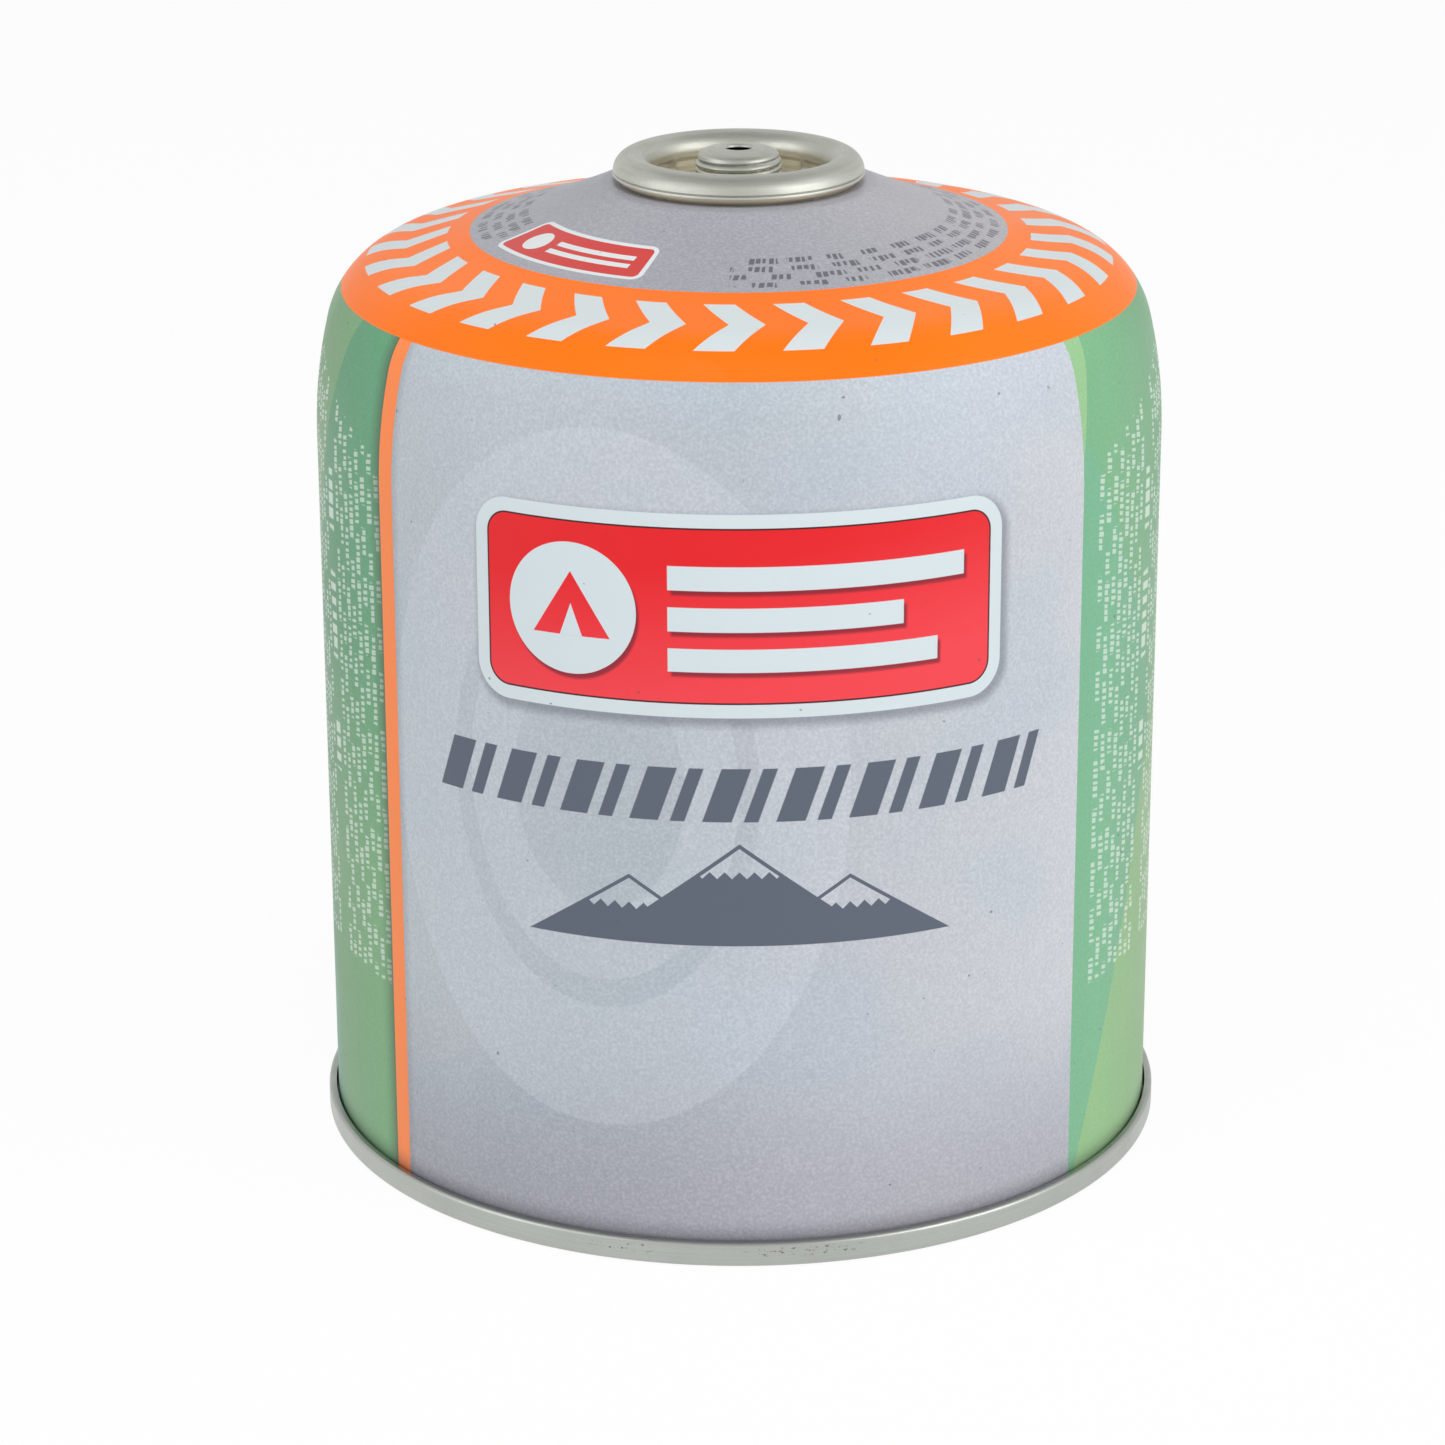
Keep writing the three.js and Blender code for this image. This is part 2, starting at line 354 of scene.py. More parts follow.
plate = {
    "height": 84.2,
    "halfWidth": 33.5,
    "halfHeight": 12.6,
    "corner": 4.5,
    "rim": 1.9,
    "line": 0.22,  # dark line inside the rim
    "pale": paint(214, 225, 229),
    "dark": paint(70, 20, 26),
    "reds": (paint(232, 26, 34), paint(244, 66, 76)),
    "shadow": paint(96, 98, 110),
    "shadowMove": (0.5, 0.6),  # to the right and down
    "signMove": (0.35, 0.6),
    "under": paint(96, 24, 44),
    "mark": paint(214, 226, 230),
    "discPlace": 20.5,
    "disc": 8.2,
    "tentTop": 4.6,
    "doorTop": 0.6,
    "tentFoot": -3.4,
    "tentSlope": 0.62,
    "doorSlope": 0.36,
    "bars": ((3.2, 6.2, 28.0), (-1.9, 1.1, 20.0), (-6.9, -4.0, 24.5)),  # low, high, right end
    "barStart": -8.5,
    "barMove": 0.4,
}
band = {
    "low": 106.0,  # the shoulder's print starts above this height
    "inner": 34.0,
    "outer": 50.4,
    "middle": 42.1,
    "oranges": (paint(255, 116, 0), paint(255, 121, 2)),
    "chevrons": 28,
    "lean": 0.7,
    "share": (0.22, 0.68),
    "chevronInner": 36.9,
    "chevronOuter": 47.3,
    "chevron": paint(208, 217, 219),
}
cone = {
    "greys": (paint(161, 163, 171), paint(176, 174, 180)),
    "rows": (26.3, 33.3),
    "rowPitch": 1.75,
    "rowGroup": 5.5,
    "rowTick": 0.9,
    "rowScale": 30.0,
    "bare": (-12.0, 10.0),  # middle and half width of the part with no rows
    "ink": paint(74, 74, 84),
    "plateTurn": -46.0,
    "plateRadius": 28.5,
    "plateBox": (12.0, 3.7, 1.4),
    "plateRim": 0.6,
    "plateGap": 1.2,
    "bars": ((0.4, 1.3), (-1.3, -0.4)),
    "barSpan": (-3.5, 9.5),
    "disc": (7.0, 2.0),  # place to the left and radius
    "pale": paint(220, 226, 228),
    "red": paint(205, 62, 58),
    "mark": paint(222, 226, 226),
}
lacquer = {
    "grain": 2600,
    "grainDark": paint(120, 120, 135),
    "grainPale": paint(255, 250, 250),
    "specks": (1150, 0.885, 0.02, 0.6),  # size, threshold, softness, strength
    "speckColor": paint(80, 78, 84),
    "seamAngleDark": (4.6, 2.8, 0.36),  # height, softness, strength
    "seamAngleDarkColor": paint(80, 76, 84),
    "rough": (0.36, 0.44),
    "level": 0.3,
}


def grained(s, grain, color, weight):
    darker = s.mix(s.ramp(grain, 0.3, 0.7, 0.0, 0.16 * weight), color, lacquer["grainDark"], "MULTIPLY")
    return s.mix(s.ramp(grain, 0.55, 0.3, 0.0, 0.06 * weight), darker, lacquer["grainPale"], "SCREEN")


# grey-lavender front with soft blue and pink clouds, darker towards the seam, and painted light that makes
# the right side lighter
def panelGrey(s, degrees, clouds):
    tint = s.noise(panel["tintSize"], 1.0, at=s.vector(s.x, s.y, s.mul(s.z, 0.0016)))
    grey = s.mix(s.ramp(clouds, 0.35, 0.65), *panel["greys"])
    # painted light: the grey turns lighter towards the right side
    grey = s.mix(s.ramp(degrees, 0, 50), grey, panel["rightPaintedLightGrey"])
    grey = s.mix(s.ramp(degrees, -10, -50, 0.0, 0.7), grey, panel["leftGrey"])
    grey = s.mix(s.mul(s.above(tint, 0.55, 0.2), 0.3), grey, panel["blue"])
    low = s.below(s.add(s.z, s.mul(clouds, 18)), *panel["foot"])
    return s.mix(s.mul(low, 0.8), grey, s.mix(s.ramp(degrees, -30, 10), *panel["footGreys"]))


# large pale sun behind the marks: a disc with a ring and its core left out
def paleSun(s, around):
    edge = s.disc(s.sub(around, sun["round"]), s.mul(s.sub(s.z, sun["height"]), sun["squash"]), sun["radius"])
    gap = s.between(edge, *sun["gap"], 0.2)
    core = s.below(edge, sun["core"], 0.2)
    return s.mul(s.below(edge, 0.0, 0.3), s.flip(s.most(gap, core)))


# slate strokes and peaks in place of the words
def slateMarks(s, around):
    leaned = s.sub(around, s.mul(s.sub(s.z, strokes["middle"]), strokes["slant"]))
    part = s.op("FRACT", s.op("DIVIDE", s.add(leaned, 200.0), strokes["pitch"]))
    marks = s.most(s.between(part, *strokes["wide"], 0.02), s.between(part, *strokes["narrow"], 0.02))
    marks = s.mul(marks, s.between(leaned, -strokes["halfRow"], strokes["halfRow"], 0.05))
    marks = s.mul(marks, s.between(s.z, strokes["low"], strokes["high"], 0.1))
    for place, top, half in peaks["hills"]:
        side = s.op("ABSOLUTE", s.sub(around, place))
        slope = s.mul(s.sub(top, s.z), half / (top - peaks["foot"]))
        inside = s.sub(side, slope)
        hill = s.mul(s.below(inside, 0.0, 0.12), s.above(s.z, peaks["foot"], 0.1))
        teeth = s.op("PINGPONG", side, peaks["tooth"])
        snow = s.above(s.add(s.z, teeth), top - peaks["snow"], 0.1)
        snow = s.mul(s.below(inside, -peaks["outline"], 0.12), snow)
        marks = s.most(marks, s.mul(hill, s.flip(snow)))
    return marks


# green sides: wide facets that run out towards the back, and painted shade at the far sides
def greenSides(s, degrees):
    def edge(at, height, rise):
        return s.add(s.mul(s.sub(degrees, at), rise), height)

    # green from left to right, lighter on the right: partly print tone, partly painted light
    green = s.mix(s.ramp(s.op("SINE", s.angle), -1, 1), *greens["around"])
    height, soft, strength, color = greens["low"]
    green = s.mix(s.mul(s.below(s.z, height, soft), strength), green, color)
    rightSide = s.mul(s.above(degrees, 40, 1), s.below(degrees, *greens["rightFade"]))
    height, soft, strength, color = greens["rightLow"]
    green = s.mix(s.mul(s.mul(rightSide, s.below(s.z, height, soft)), strength), green, color)
    low, high, soft, strength, color = greens["teal"]
    teal = s.mul(s.above(s.z, edge(*low), soft), s.below(s.z, edge(*high), soft))
    green = s.mix(s.mul(s.mul(teal, s.between(degrees, 45, 85, 0.3)), strength), green, color)
    low, soft, strength, color = greens["wedge"]
    wedge = s.mul(s.above(s.z, edge(*low), soft), s.between(degrees, 45, 100, 1))
    green = s.mix(s.mul(wedge, strength), green, color)
    leftSide = s.above(degrees, *greens["leftFade"])
    low, soft, strength, color = greens["topLeft"]
    facet = s.mul(s.mul(s.above(s.z, edge(*low), soft), s.below(degrees, -45, 1)), leftSide)
    green = s.mix(s.mul(facet, strength), green, color)
    high, soft, strength, color = greens["farLeft"]
    facet = s.mul(s.mul(s.below(s.z, edge(*high), soft), s.below(degrees, -72, 1)), leftSide)
    green = s.mix(s.mul(facet, strength), green, color)
    # painted shade towards the far sides of the wall
    start, end, strength, color = greens["farSidePaintedShade"]
    return s.mix(s.ramp(s.op("ABSOLUTE", degrees), start, end, 0.0, strength), green, color, "MULTIPLY")


# columns of pale ticks on the green, each side of the panel, with a bolder one
def sideTicks(s, degrees):
    column = s.mul(s.sub(s.op("ABSOLUTE", degrees), smallPrint["start"]), arcPerDegree)
    fine = s.ticks(s.z, column, smallPrint["pitch"], smallPrint["group"], 3.0, smallPrint["tick"])
    top = s.add(s.mul(column, smallPrint["rise"]), smallPrint["high"])
    tall = s.mul(s.above(s.z, smallPrint["low"], 0.3), s.below(s.z, top, 0.3))
    title = s.between(column, *smallPrint["title"], 0.2)
    across = s.sub(column, smallPrint["title"][0])
    pitch, group, tick = (smallPrint[k] for k in ("titlePitch", "titleGroup", "titleTick"))
    bold = s.ticks(s.z, across, pitch, group, 5.0, tick)
    bold = s.mul(s.mul(bold, title), s.between(s.z, smallPrint["titleLow"], smallPrint["titleHigh"], 0.2))
    fine = s.mul(s.mul(fine, s.flip(title)), s.mul(tall, s.between(column, *smallPrint["span"], 0.2)))
    return s.most(s.mul(fine, 0.7), s.mul(bold, 0.85))


# plate with a pale rim, a disc with a tent and plain bars, over the colour given
def platePrint(s, around, color):
    box = (plate["halfWidth"], plate["halfHeight"], plate["corner"])
    px, py = around, s.sub(s.z, plate["height"])
    edge = s.roundBox(px, py, *box)
    right, down = plate["shadowMove"]
    shadow = s.roundBox(s.sub(px, right), s.add(py, down), *box)
    inside = s.below(edge, -plate["rim"])
    color = s.mix(s.mul(s.below(shadow, 0.5, 1.6), 0.55), color, plate["shadow"])
    color = s.mix(s.below(edge, 0.0), color, plate["pale"])
    color = s.mix(s.below(edge, plate["line"] - plate["rim"]), color, plate["dark"])
    color = s.mix(inside, color, s.mix(s.ramp(s.add(py, s.mul(px, -0.12)), 7.0, -9.0), *plate["reds"]))

    def tri(x, y, top, slope):
        sides = s.sub(s.op("ABSOLUTE", x), s.mul(s.sub(top, y), slope))
        return s.mul(s.below(sides, 0.0), s.above(y, plate["tentFoot"]))

    discX = s.add(px, plate["discPlace"])
    disc = s.disc(discX, py, plate["disc"])
    door = tri(discX, py, plate["doorTop"], plate["doorSlope"])
    tent = s.mul(tri(discX, py, plate["tentTop"], plate["tentSlope"]), s.flip(door))
    sign = s.mul(s.below(disc, 0.0), s.flip(tent))
    right, down = plate["signMove"]
    shade = s.below(s.disc(s.sub(discX, right), s.add(py, down), plate["disc"]), 0.0, 0.5)
    shade = s.mul(shade, s.above(disc, 0.0))
    start = plate["barStart"]
    for low, high, end in plate["bars"]:
        sign = s.most(sign, s.mul(s.between(py, low, high, 0.1), s.between(px, start, end, 0.1)))
        below = s.between(py, low - down, high - down, 0.5)
        below = s.mul(below, s.between(px, start + plate["barMove"], end + plate["barMove"], 0.5))
        shade = s.most(shade, below)
    color = s.mix(s.mul(s.mul(shade, 0.75), inside), color, plate["under"])
    return s.mix(sign, color, plate["mark"])


# orange band round the shoulder, with pale chevrons
def bandPrint(s, clouds):
    orange = s.mix(s.ramp(clouds, 0.4, 0.6), *band["oranges"])
    lean = s.mul(s.op("ABSOLUTE", s.sub(s.r, band["middle"])), band["lean"])
    pitch = 2 * math.pi * band["middle"] / band["chevrons"]
    part = s.op("FRACT", s.op("DIVIDE", s.add(s.add(s.mul(s.angle, band["middle"]), lean), 400.0), pitch))
    marks = s.between(part, *band["share"], 0.012)
    marks = s.mul(marks, s.between(s.r, band["chevronInner"], band["chevronOuter"], 0.08))
    return s.mix(marks, orange, band["chevron"])


# grey cone inside the band, with rows of dark ticks and a small plate
def conePrint(s, degrees, clouds, grain):
    color = grained(s, grain, s.mix(s.ramp(clouds, 0.35, 0.65), *cone["greys"]), 1.0)
    x = s.mul(s.sub(degrees, cone["plateTurn"]), math.pi / 180 * cone["plateRadius"])
    y = s.sub(s.r, cone["plateRadius"])
    edge = s.roundBox(x, y, *cone["plateBox"])
    middle, half = cone["bare"]
    along = s.mul(s.angle, cone["rowScale"])
    rows = s.ticks(along, s.r, cone["rowPitch"], cone["rowGroup"], 11.0, cone["rowTick"])
    rows = s.mul(rows, s.between(s.r, *cone["rows"], 0.1))
    rows = s.mul(rows, s.above(edge, cone["plateGap"], 0.2))
    rows = s.mul(rows, s.above(s.op("ABSOLUTE", s.sub(degrees, middle)), half, 0.5))
    color = s.mix(s.mul(rows, 0.8), color, cone["ink"])
    color = s.mix(s.below(edge, 0.0), color, cone["pale"])
    color = s.mix(s.below(edge, -cone["plateRim"]), color, cone["red"])
    upper, lower = cone["bars"]
    bars = s.mul(s.between(x, *cone["barSpan"]), s.most(s.between(y, *upper), s.between(y, *lower)))
    place, radius = cone["disc"]
    sign = s.most(s.below(s.disc(s.add(x, place), y, radius), 0.0), bars)
    return s.mix(sign, color, cone["mark"])


def printedSteel():
    s = Shader("printedSteel")
    degrees = s.mul(s.angle, 180 / math.pi)
    around = s.mul(s.angle, wallRadius)  # mm round the wall
    clouds = s.noise(panel["cloudSize"], 2.0)
    grain = s.noise(lacquer["grain"], 1.0, 0.6)
    left, right, soft = panel["left"], panel["right"], panel["edge"]
    start = left - stripe["width"]

    grey = s.mix(s.mul(paleSun(s, around), sun["strength"]), panelGrey(s, degrees, clouds), sun["color"])
    grey = s.mix(slateMarks(s, around), grained(s, grain, grey, 1.0), slate)
    green = grained(s, grain, greenSides(s, degrees), 0.4)
    green = s.mix(sideTicks(s, degrees), green, smallPrint["color"])

    # panel edge, with the pinstripe and a dark shade beside it
    onPanel = s.between(degrees, left, right, soft)
    onStripe = s.between(degrees, start, left, soft)
    beside = s.between(degrees, start - stripe["shade"], start, soft)
    shade = s.mul(beside, s.ramp(degrees, start - stripe["shadeFade"], start))
    green = s.mix(s.mul(s.op("POWER", shade, 1.6), 0.75), green, stripe["shadeColor"])
    inner = s.mul(s.ramp(degrees, left + panel["inner"], left), onPanel)
    grey = s.mix(s.mul(inner, 0.35), grey, panel["inkShade"])
    color = s.mix(onStripe, s.mix(onPanel, green, grey), stripe["color"])

    color = platePrint(s, around, color)
    onShoulder = s.above(s.z, band["low"], 0.5)
    onBand = s.mul(s.between(s.r, band["inner"], band["outer"], 0.08), onShoulder)
    color = s.mix(onBand, color, bandPrint(s, clouds))
    onCone = s.mul(s.below(s.r, band["inner"], 0.08), onShoulder)
    color = s.mix(onCone, color, conePrint(s, degrees, clouds, grain))

    # a few dark specks in the lacquer, and darker in the angle just above the seam
    size, limit, speckSoft, strength = lacquer["specks"]
    specks = s.mul(s.above(s.noise(size, 0.0), limit, speckSoft), strength)
    color = s.mix(specks, color, lacquer["speckColor"])
    height, seamAngleSoft, strength = lacquer["seamAngleDark"]
    color = s.mix(s.mul(s.below(s.z, height, seamAngleSoft), strength), color, lacquer["seamAngleDarkColor"])
    rough = s.ramp(s.noise(60), 0.3, 0.7, *lacquer["rough"])
    s.set(color=color, metal=0.0, rough=rough, level=lacquer["level"])
    s.bump(s.add(s.mul(grain, 0.5), s.noise(900, 1.0)), 0.00002, 0.35)
    return s.material


# bare tinplate: fine lines round the axis, dull patches, dark nicks and a warm tone
tin = {
    "patches": 160,
    "fine": 1500,
    "streakDark": 0.86,
    "patchDark": 0.82,
    "finePale": 1.1,
    "nickHeight": (1.4, 2.6),
    "nickColor": paint(72, 72, 66),
    "warmColor": paint(230, 218, 194),
    "warmTop": 0.4,  # above the curl's centre
    "warmReach": 1.6,  # outside the well's wall
}


def shaded(color, factor):
    return [c * factor for c in color[:3]] + [1]


def tinplate(name, color, rough, lines, nicks=False, warm=0.0):
    s = Shader(name)
    around = s.mul(s.angle, 0.9)
    streaks = s.noise(1.0, 3.0, 0.65, at=s.vector(s.mul(around, 2.5), s.mul(s.z, lines), s.mul(s.r, lines)))
    patches = s.noise(tin["patches"], 4.0, 0.6)
    fine = s.noise(tin["fine"], 2.0, 0.6)
    tone = s.mix(s.ramp(streaks, 0.3, 0.7), shaded(color, tin["streakDark"]), color)
    tone = s.mix(s.ramp(patches, 0.4, 0.75, 0.0, 0.35), tone, shaded(color, tin["patchDark"]))
    tone = s.mix(s.ramp(fine, 0.5, 0.8, 0.0, 0.2), tone, shaded(color, tin["finePale"]))
    if nicks:
        # rubbed places low on the seam at the front left and front right
        scratch = s.noise(1.0, 2.0, 0.7, at=s.vector(s.mul(s.angle, 60.0), s.mul(s.z, 2.6), 0.0))
        where = s.most(s.between(s.angle, -0.34, -0.2, 0.06), s.between(s.angle, 0.02, 0.26, 0.1))
        where = s.mul(where, s.between(s.z, *tin["nickHeight"], 0.4))
        scratch = s.mul(s.above(scratch, 0.62, 0.06), where)
        tone = s.mix(s.mul(scratch, 0.75), tone, tin["nickColor"])
    if warm:
        # dull gold tone down in the well
        well = s.mul(s.below(s.z, curlZ + tin["warmTop"], 2.4), s.below(s.r, wellR + tin["warmReach"], 0.3))
        tone = s.mix(s.mul(well, warm), tone, tin["warmColor"])
    s.set(color=tone, metal=1.0, rough=s.ramp(patches, 0.3, 0.7, rough - 0.05, rough + 0.08))
    s.bump(s.add(streaks, s.mul(fine, 0.4)), 0.00003, 0.5)
    return s.material


def darkSolid(name, color, rough):
    s = Shader(name)
    s.set(color=s.mix(s.noise(900, 3.0), color, shaded(color, 1.8)), metal=0.0, rough=rough)
    s.bump(s.noise(2400, 2.0), 0.00003, 0.6)
    return s.material


# outline in (radius, height), mm, anticlockwise round the section
class Outline:
    def __init__(self):
        self.points = []

    def to(self, r, z):
        r = max(r, 0.0)
        if not self.points or math.dist(self.points[-1], (r, z)) > 1e-4:
            self.points.append((r, z))

    def line(self, r, z, steps):
        r0, z0 = self.points[-1]
        for i in range(1, steps + 1):
            self.to(r0 + (r - r0) * i / steps, z0 + (z - z0) * i / steps)

    def arc(self, r, z, radius, start, end, steps):
        for i in range(steps + 1):
            a = math.radians(start + (end - start) * i / steps)
            self.to(r + radius * math.cos(a), z + radius * math.sin(a))


fineSides = 256
valveSides = 64
sharpAngle = 35  # degrees between faces, above which an edge is drawn sharp


def revolve(name, outline, sides, closed, materials, pick=None, shift=None):
    # each outline point becomes a ring of vertices; points on the axis become one vertex
    verts, rings = [], []
    for r, z in outline.points:
        if r < 1e-6:
            rings.append([len(verts)] * sides)
            verts.append((0, 0, z * mm))
            continue
        ring = []
        for k in range(sides):
            a = 2 * math.pi * k / sides
            rr, zz = shift(r, z, a) if shift else (r, z)
            ring.append(len(verts))
            verts.append((rr * math.cos(a) * mm, rr * math.sin(a) * mm, zz * mm))
        rings.append(ring)
    faces, picks = [], []
    pairs = list(zip(rings, rings[1:])) + ([(rings[-1], rings[0])] if closed else [])
    for i, (low, high) in enumerate(pairs):
        for k in range(sides):
            n = (k + 1) % sides
            corners = []
            for v in (low[k], low[n], high[n], high[k]):
                if v not in corners:
                    corners.append(v)
            if len(corners) > 2:
                faces.append(corners)
                picks.append(pick(outline.points[i]) if pick else 0)
    mesh = bpy.data.meshes.new(name)
    mesh.from_pydata(verts, [], faces)
    mesh.polygons.foreach_set("material_index", picks)
    mesh.shade_smooth()
    mesh.set_sharp_from_angle(angle=math.radians(sharpAngle))
    for material in materials:
        mesh.materials.append(material)
    mesh.validate()
    piece = bpy.data.objects.new(name, mesh)
    bpy.context.scene.collection.objects.link(piece)
    return piece


# sections in mm and degrees, as the frame's solids have them
can = {
    "sheet": 0.5,
    "wallHeight": 93.2,
    "shoulderBend": 61.7,
    "shoulderLean": 13.8,
    "cornerBend": 11.4,
    "coneLean": 78.1,
    "coneLength": 4.0,
    "swoopBend": 105.4,
    "landRadius": 17.8,
    "landBend": 2.0,
    "landLean": 86.0,
    "neckRadius": 14.75,
    "roll": 0.84,  # radius of the neck's roll, where it shows under the cup
    "rollIn": 0.15,  # its centre lies this much inside the neck's radius
    "gap": 0.3,
    "bore": 108.0,  # height where the valve's bore ends inside the solid
}
seam = {
    "height": 3.2,
    "edge": 0.45,
    "foot": 0.65,
    "sheet": 0.5,
    "chuck": 4.0,
    "bend": 1.0,
    "turn": 70,  # degrees of the turn from the chuck wall into the panel
    "dome": 7.4,
}
cup = {
    "sheet": 0.4,
    "curl": 2.3,
    # cut edge, flared lip and crease, as steps out from the curl and down from its centre
    "lip": ((-0.4, 0.28), (-0.25, 0.37), (-0.07, 0.4), (0.03, 0.36), (0.05, 0.28), (-0.02, 0.06),
            (-0.16, -0.03), (-0.13, -0.12)),
    "well": 4.3,
    "bulge": 0.9,
    "crimp": 0.6,
    "crimpBand": 0.6,
    "ridge": 0.8,
    "ridgeWidth": 0.8,
    "jaws": 8,
    "proud": 0.58,
}
post = {
    "radius": 10.95 / 2,
    "cap": 5.1,
    "pitch": 0.907,
    "depth": 0.42,
    "drop": 1.34,  # first groove below the top, at the front
    "edge": 1.0,
    "foot": 0.7,
    "hole": 3.3 / 2,
    "under": ((0.35, 0.4), (0.0, 0.9)),  # underside of its top: steps in from the bore and down
    # top, as radius and drop: a low crown with round shoulders and a turned-in rim
    "crown": ((5.08, 0.86), (4.97, 0.69), (4.78, 0.53), (4.5, 0.4), (4.1, 0.3), (3.5, 0.19), (2.9, 0.1),
              (2.4, 0.03), (2.1, 0.0), (1.9, 0.03), (1.74, 0.13), (1.65, 0.3)),
}

crest = cupHigh.z / mm - cup["proud"]
curlZ = crest - cup["curl"]
curlR = cupHigh.x / mm - cup["curl"]
bead = cup["curl"] - cup["sheet"] - can["gap"]
wellR = curlR - cup["curl"]
floorZ = crest - cup["well"]
crimpLow = floorZ + cup["crimp"] - cup["crimpBand"] / 2
crimpTop = crimpLow + cup["crimpBand"]
postTop = crest + cup["proud"]
postBore = post["radius"] - post["depth"] - cup["sheet"]
chuckOuter = wallRadius - can["sheet"] - can["gap"]
domeEdge = chuckOuter - seam["sheet"] - seam["bend"]


def shoulderPath():
    path = [(wallRadius, can["wallHeight"])]
    lean = 0.0

    def bend(radius, end, steps):
        nonlocal lean
        start, (r0, z0) = math.radians(lean), path[-1]
        for i in range(1, steps + 1):
            a = start + (math.radians(end) - start) * i / steps
            r = r0 - radius * (math.cos(start) - math.cos(a))
            path.append((r, z0 + radius * (math.sin(a) - math.sin(start))))
        lean = end

    bend(can["shoulderBend"], can["shoulderLean"], 12)
    bend(can["cornerBend"], can["coneLean"], 24)
    a = math.radians(lean)
    r, z = path[-1]
    r, z = r - can["coneLength"] * math.sin(a), z + can["coneLength"] * math.cos(a)
    path.append((r, z))
    top = math.acos(math.cos(a) + (r - can["landRadius"]) / can["swoopBend"])
    bend(-can["swoopBend"], math.degrees(top), 20)
    bend(can["landBend"], can["landLean"], 8)
    r, z = path[-1]
    path.append((can["neckRadius"], z + (r - can["neckRadius"]) / math.tan(math.radians(can["landLean"]))))
    return path


def domeOutline(outline, step, edge, outward):
    steps = 16
    radius = (domeEdge ** 2 + seam["dome"] ** 2) / (2 * seam["dome"])
    centre = seam["chuck"] + seam["dome"] - radius
    for i in range(steps + 1):
        r = edge * (i if outward else steps - i) / steps
        outline.to(r, centre + math.sqrt((radius + step) ** 2 - r ** 2))


def makeBody(printed, bare):
    path = shoulderPath()
    neckZ = path[-1][1]
    rimInner = wallRadius - can["sheet"]
    wall = wellR + cup["sheet"] + can["gap"]
    pocket = floorZ - cup["sheet"] - can["gap"]
    o = Outline()
    domeOutline(o, seam["sheet"] + can["gap"], domeEdge, True)
    o.arc(domeEdge, seam["chuck"] - seam["bend"], rimInner - domeEdge, seam["turn"], 0, 6)
    o.to(rimInner, seam["sheet"] + can["gap"])
    o.to(wallRadius, seam["sheet"] + can["gap"])
    o.line(wallRadius, can["wallHeight"], 24)
    for r, z in path:
        o.to(r, z)
    roll = can["roll"]
    o.arc(can["neckRadius"] - can["rollIn"], neckZ + roll, roll, -80, 10, 16)
    o.to(curlR + bead, curlZ)
    o.arc(curlR, curlZ, bead, 0, 180, 24)
    o.to(wall, curlZ - cup["sheet"])
    o.to(wall + cup["bulge"], crimpTop)
    o.to(wall + cup["bulge"], crimpLow)
    o.to(wall, pocket)
    o.to(postBore, pocket)
    o.to(postBore, can["bore"])
    o.to(0, can["bore"])

    def pick(point):
        # bare from the end of the land, over the bead and down the bore
        inside = point[0] < can["neckRadius"] + 0.01 and point[1] > 100
        return 1 if inside or point[1] >= neckZ else 0

    piece = revolve("printedBody", o, fineSides, False, [printed, bare], pick)
    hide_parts("can_body")
    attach(piece, "root")
    print("body made")


def makeBase(bare):
    seamR = baseHigh.x / mm
    channel = wallRadius + can["gap"]
    chuckInner = chuckOuter - seam["sheet"]
    turn = seam["chuck"] - seam["bend"]
    o = Outline()
    o.arc(chuckInner + seam["foot"], seam["foot"], seam["foot"], 180, 270, 8)
    o.arc(seamR - seam["foot"], seam["foot"], seam["foot"], 270, 360, 8)
    o.line(seamR, seam["height"] - seam["edge"], 4)
    o.arc(seamR - seam["edge"], seam["height"] - seam["edge"], seam["edge"], 0, 90, 8)
    o.to(channel, seam["height"])
    o.to(channel, seam["sheet"])
    o.to(chuckOuter, seam["sheet"])
    o.to(chuckOuter, turn)
    o.arc(domeEdge, turn, chuckOuter - domeEdge, 0, seam["turn"], 8)
    domeOutline(o, seam["sheet"], domeEdge, False)
    domeOutline(o, 0, domeEdge - seam["sheet"], True)
    o.arc(domeEdge, turn, chuckInner - domeEdge, seam["turn"], 0, 8)
    piece = revolve("seamedBase", o, fineSides, True, [bare])
    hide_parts("base_end")
    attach(piece, "root")
    print("base made")


